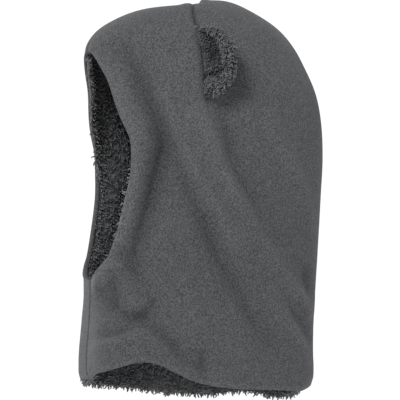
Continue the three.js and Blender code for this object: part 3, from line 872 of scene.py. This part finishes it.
def make_pile_tree():
    tree = GrowingTree("grow_pile", "Backing", PILE_SIZES, "Finish", "Pile")
    given, grow = tree.given, tree.grow
    marked = grow("GeometryNodeInputNamedAttribute", {"data_type": "FLOAT"}, Name="pile").outputs["Attribute"]
    square = tree.number("MULTIPLY", given["Spacing"], given["Spacing"])
    points = grow("GeometryNodeDistributePointsOnFaces", {"distribute_method": "POISSON"}, Mesh=given["Backing"],
                  Distance_Min=given["Spacing"], Density_Max=tree.number("DIVIDE", DENSEST, square),
                  Density_Factor=tree.number("GREATER_THAN", marked, 0.5), Seed=given["Seed"])
    low, high = (tree.scaled((way,) * 3, given["Tangle"]) for way in (-1, 1))
    upright, hang = tree.scaled(points.outputs["Normal"], given["Upright"]), tree.scaled((0, 0, -1), given["Hang"])
    lean = tree.added(tree.added(upright, hang), tree.random("FLOAT_VECTOR", low, high, given["Seed"]))
    aligned = grow("FunctionNodeAlignRotationToVector", {"axis": "Z"}, Vector=lean)
    roll = tree.random("FLOAT_VECTOR", (0, 0, 0), (0, 0, 2 * math.pi), ROLL_SEED)
    roll = grow("FunctionNodeEulerToRotation", Euler=roll)
    turned = grow("FunctionNodeRotateRotation", {"rotation_space": "LOCAL"},
                  Rotation=aligned.outputs["Rotation"], Rotate_By=roll.outputs["Rotation"])
    size = tree.number("MULTIPLY", tree.random("FLOAT", SHORTEST, LONGEST, SIZE_SEED), marked)
    strands = grow("GeometryNodeInstanceOnPoints", Points=points.outputs["Points"], Instance=one_strand(tree),
                   Rotation=turned.outputs["Rotation"], Scale=size)
    strands = grow("GeometryNodeRealizeInstances", Geometry=strands.outputs["Instances"])
    strands = grow("GeometryNodeSetShadeSmooth", Geometry=strands.outputs["Geometry"])
    both = tree.tree.nodes.new("GeometryNodeJoinGeometry")
    for part in (strands.outputs["Geometry"], given["Backing"]):
        tree.tree.links.new(part, both.inputs[0])
    finished = grow("GeometryNodeSetMaterial", Geometry=both.outputs["Geometry"], Material=given["Finish"])
    tree.tree.links.new(finished.outputs["Geometry"], tree.tree.nodes.new("NodeGroupOutput").inputs["Pile"])
    return tree.tree


grow_pile = make_pile_tree()
print(grow_pile.name, len(grow_pile.nodes), "nodes")


# %% Grow pile on an object
def cover_with_pile(thing, **sizes):
    """Grows pile on an object and makes the result its plain mesh."""
    modifier = thing.modifiers.new("pile", "NODES")
    modifier.node_group = grow_pile
    sockets = {item.name: item.identifier for item in grow_pile.interface.items_tree if item.in_out == "INPUT"}
    for name, value in {**sizes, "Finish": pile.material}.items():
        modifier[sockets[name]] = value
    ready = thing.evaluated_get(bpy.context.evaluated_depsgraph_get())
    mesh = bpy.data.meshes.new_from_object(ready)
    thing.modifiers.clear()
    old, thing.data = thing.data, mesh
    mesh.name = thing.name
    bpy.data.meshes.remove(old)
    print(thing.name, sum(len(face.vertices) - 2 for face in mesh.polygons), "triangles")


# %% [markdown]
# ## Lining
# The lining follows the fleece inside, a small gap behind it. Its backing is a closed skin of its own, and the
# strands stand on the inner face and round the free edges, where they peep out past the fleece. It is made in
# three stretches, so that the neck and the face opening, which are seen from near, get the finest strands.

# %% Make the lining
COARSE = dict(neck=16, opening=30, crown=15, back=22, front=26, dart=7)
BACKING, BACKING_LOOPS = 2.0, 2
STRAND_LENGTH, STRAND_UPRIGHT = 0.0027, 0.6
RIM_REACH = 1.15  # how much longer the pile is at the hem and the rim of the opening
EDGE_LIGHT = 9.0  # mm from a free edge over which painted light makes the pile lighter
INSIDE_SHADE, LIGHT_AT_EDGES = 0.2, 0.75  # painted shade on the pile inside the hood, and painted light near a free edge that outweighs it
# mm that the backing stands out past the fleece, at the hem and at the lower and upper part of the opening
PEEP = {"left": {"beyond_hem": -4.5, "beyond_rim": (4.0, -1.2)},
        "right": {"beyond_hem": 2.4, "beyond_rim": (-6.5, 4.6)}}

for name, side in SIDES.items():
    panel = Panel(side, COARSE)
    chin, forehead = panel.chin_row, panel.forehead_row
    stretches = {"neck": (slice(0, chin + 1), 0.0012, 0.0013), "face": (slice(chin, forehead + 1), 0.0015, 0.0013),
                 "crown": (slice(forehead, None), 0.0022, 0.0017)}
    for stretch, (rows, spacing, thickness) in stretches.items():
        outer = panel.at_depth(FLEECE + LAYER_GAP, rows, **PEEP[name])
        inner = panel.at_depth(FLEECE + LAYER_GAP + BACKING, rows, **PEEP[name])
        bulge = rim_bulge(panel, *outer.shape[:2], rows.start)
        vertices, faces, source = closed_skin(outer, inner, bulge, BACKING_LOOPS)
        outside = np.zeros(outer.shape[:2])
        if stretch == "neck" and side < 0:  # the hem of the far side shows its pile from outside too
            outside[0] = RIM_REACH
        on_rim = np.where(bulge > 0, RIM_REACH, 1.0)
        grows = np.concatenate([outside.ravel(), np.ones(outside.size), np.tile(on_rim, BACKING_LOOPS)])
        # painted shade on the inner pile, turned into painted light near the hem and the rim of the opening
        pile_light_and_shade = INSIDE_SHADE - LIGHT_AT_EDGES * bell(panel.to_edge[rows], EDGE_LIGHT)
        marks = {"pile": grows, "pile_light_and_shade": pile_light_and_shade.ravel()[source]}
        backing = make_object("lining_" + stretch + "_" + name, vertices, faces, pile, marks)
        cover_with_pile(backing, Spacing=spacing, Length=STRAND_LENGTH, Thickness=thickness,
                        Upright=STRAND_UPRIGHT, Seed=5 + side)
        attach(backing, "root")
        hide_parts("lining_" + name)

# %% [markdown]
# ## Ears
# Each ear is two layers of pile sewn round and caught in the dart. It leans back from the dart and curls out
# again at its rim like a shallow cup, and its lower third bulges forward as a lobe, with a crease above it. A
# bent disc would lie too flat, so the ear is stepped out from the dart column by column, each at its own lean,
# and then raised and hollowed.

# %% Form of an ear
EAR_TOP, EAR_LENGTH, EAR_REACH, EAR_CORE = 33.0, 49.0, 33.0, 2.4
EAR_LEAN = np.array([0.45, 1.15, 1.1, 0.8, 0.5, 0.3])  # radians from upright, from the dart to the rim
EAR_PILE = 3  # mm of the reach that the pile makes up
EAR_ROWS, EAR_COLUMNS = 26, 14
ROOT_LIFT, NARROWEST, ROUNDNESS = 0.4, 0.25, 0.6
# rises in mm, then places and spreads as shares of the ear's length or reach
LOBE, LOBE_DOWN, LOBE_SPREAD = 5.4, 0.88, 0.1
CREASE, CREASE_DOWN, CREASE_SLANT, CREASE_THIN = 4.5, 0.74, 0.12, 0.05
RIM, RIM_OUT, RIM_SPREAD = 6.0, 0.84, 0.13
TOP, TOP_DOWN, TOP_SPREAD = 1.6, 0.08, 0.09
HOLLOW, HOLLOW_DOWN, HOLLOW_OUT = 3.6, 0.36, 0.35


def ear_form(down, out):
    """How far the ear is raised, and how much shade is painted on its pile, by shares from its top and from the
    dart.
    """
    lobe = LOBE * bell(down - LOBE_DOWN, LOBE_SPREAD) * np.sin(np.pi * np.clip(out * 0.9 + 0.1, 0, 1))
    crease = bell(down - (CREASE_DOWN - CREASE_SLANT * out), CREASE_THIN) * (1 - 0.6 * out)
    rim = RIM * bell(out - RIM_OUT, RIM_SPREAD) * (1 - ease((down - 0.62) / 0.15))
    top = TOP * bell(down - TOP_DOWN, TOP_SPREAD)
    hollow = bell(down - HOLLOW_DOWN, 0.22) * bell(out - HOLLOW_OUT, 0.3)
    # the second value is painted shade on the pile in the hollow and the crease
    return lobe - CREASE * crease + rim + top - HOLLOW * hollow, np.clip(0.9 * hollow + crease, 0, 1)


def ear_faces(side):
    """Front and back face of an ear, as grids, and the shade painted on its pile in the hollow and the crease."""
    down, out = np.linspace(0, 1, EAR_ROWS), np.linspace(0, 1, EAR_COLUMNS)
    place = place_at_height(WALL - EAR_TOP - down * EAR_LENGTH)
    turn = side * dart_turn(place)
    root, normal = smooth_point(turn, place), smooth_normal(turn, place)
    back = unit(smooth_point(turn - side * 0.02, place) - root)
    reach = (EAR_REACH - EAR_PILE) * (NARROWEST + (1 - NARROWEST) * np.sin(np.pi * down) ** ROUNDNESS)
    step = (reach / (EAR_COLUMNS - 1))[:, None]
    angle = np.interp(out, np.linspace(0, 1, len(EAR_LEAN)), EAR_LEAN)
    middle = [root + ROOT_LIFT * normal]
    for lean in angle[1:]:
        middle.append(middle[-1] + step * (math.cos(lean) * normal + math.sin(lean) * back))
    middle = np.stack(middle, 1)
    ahead = np.sin(angle)[None, :, None] * normal[:, None] - np.cos(angle)[None, :, None] * back[:, None]
    raised, pile_light_and_shade = ear_form(down[:, None], out)
    middle = middle + ahead * raised[..., None]
    half = EAR_CORE / 2 * (1 - 0.5 * out[None, :, None] ** 4)
    return middle + half * ahead, middle - half * ahead, pile_light_and_shade


print("each ear is", EAR_LENGTH, "mm long and reaches", EAR_REACH, "mm from its dart")

# %% Make the ears
EAR_STRANDS = dict(Spacing=0.0009, Length=0.0023, Thickness=0.0011, Upright=0.75, Hang=0.25, Tangle=0.55, Seed=21)
EAR_BULGE, EAR_LOOPS = 0.8, 2
ROOT_PILE, RIM_PILE = 0.52, 0.55  # the pile is shorter at the root and longer at the rim

for name, side in SIDES.items():
    front, behind, pile_light_and_shade = ear_faces(side)
    bulge = np.full(2 * (EAR_ROWS + EAR_COLUMNS - 2), EAR_BULGE)
    vertices, faces, source = closed_skin(front, behind, bulge, EAR_LOOPS)
    out = (source % EAR_COLUMNS) / (EAR_COLUMNS - 1)
    grows = np.clip(ROOT_PILE + 3 * out, 0, 1) + RIM_PILE * ease((out - 0.7) / 0.25)
    ear = make_object("pile_ear_" + name, vertices, faces, pile, {"pile": grows, "pile_light_and_shade": pile_light_and_shade.ravel()[source]})
    cover_with_pile(ear, **EAR_STRANDS)
    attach(ear, "root")
    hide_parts("ear_" + name)
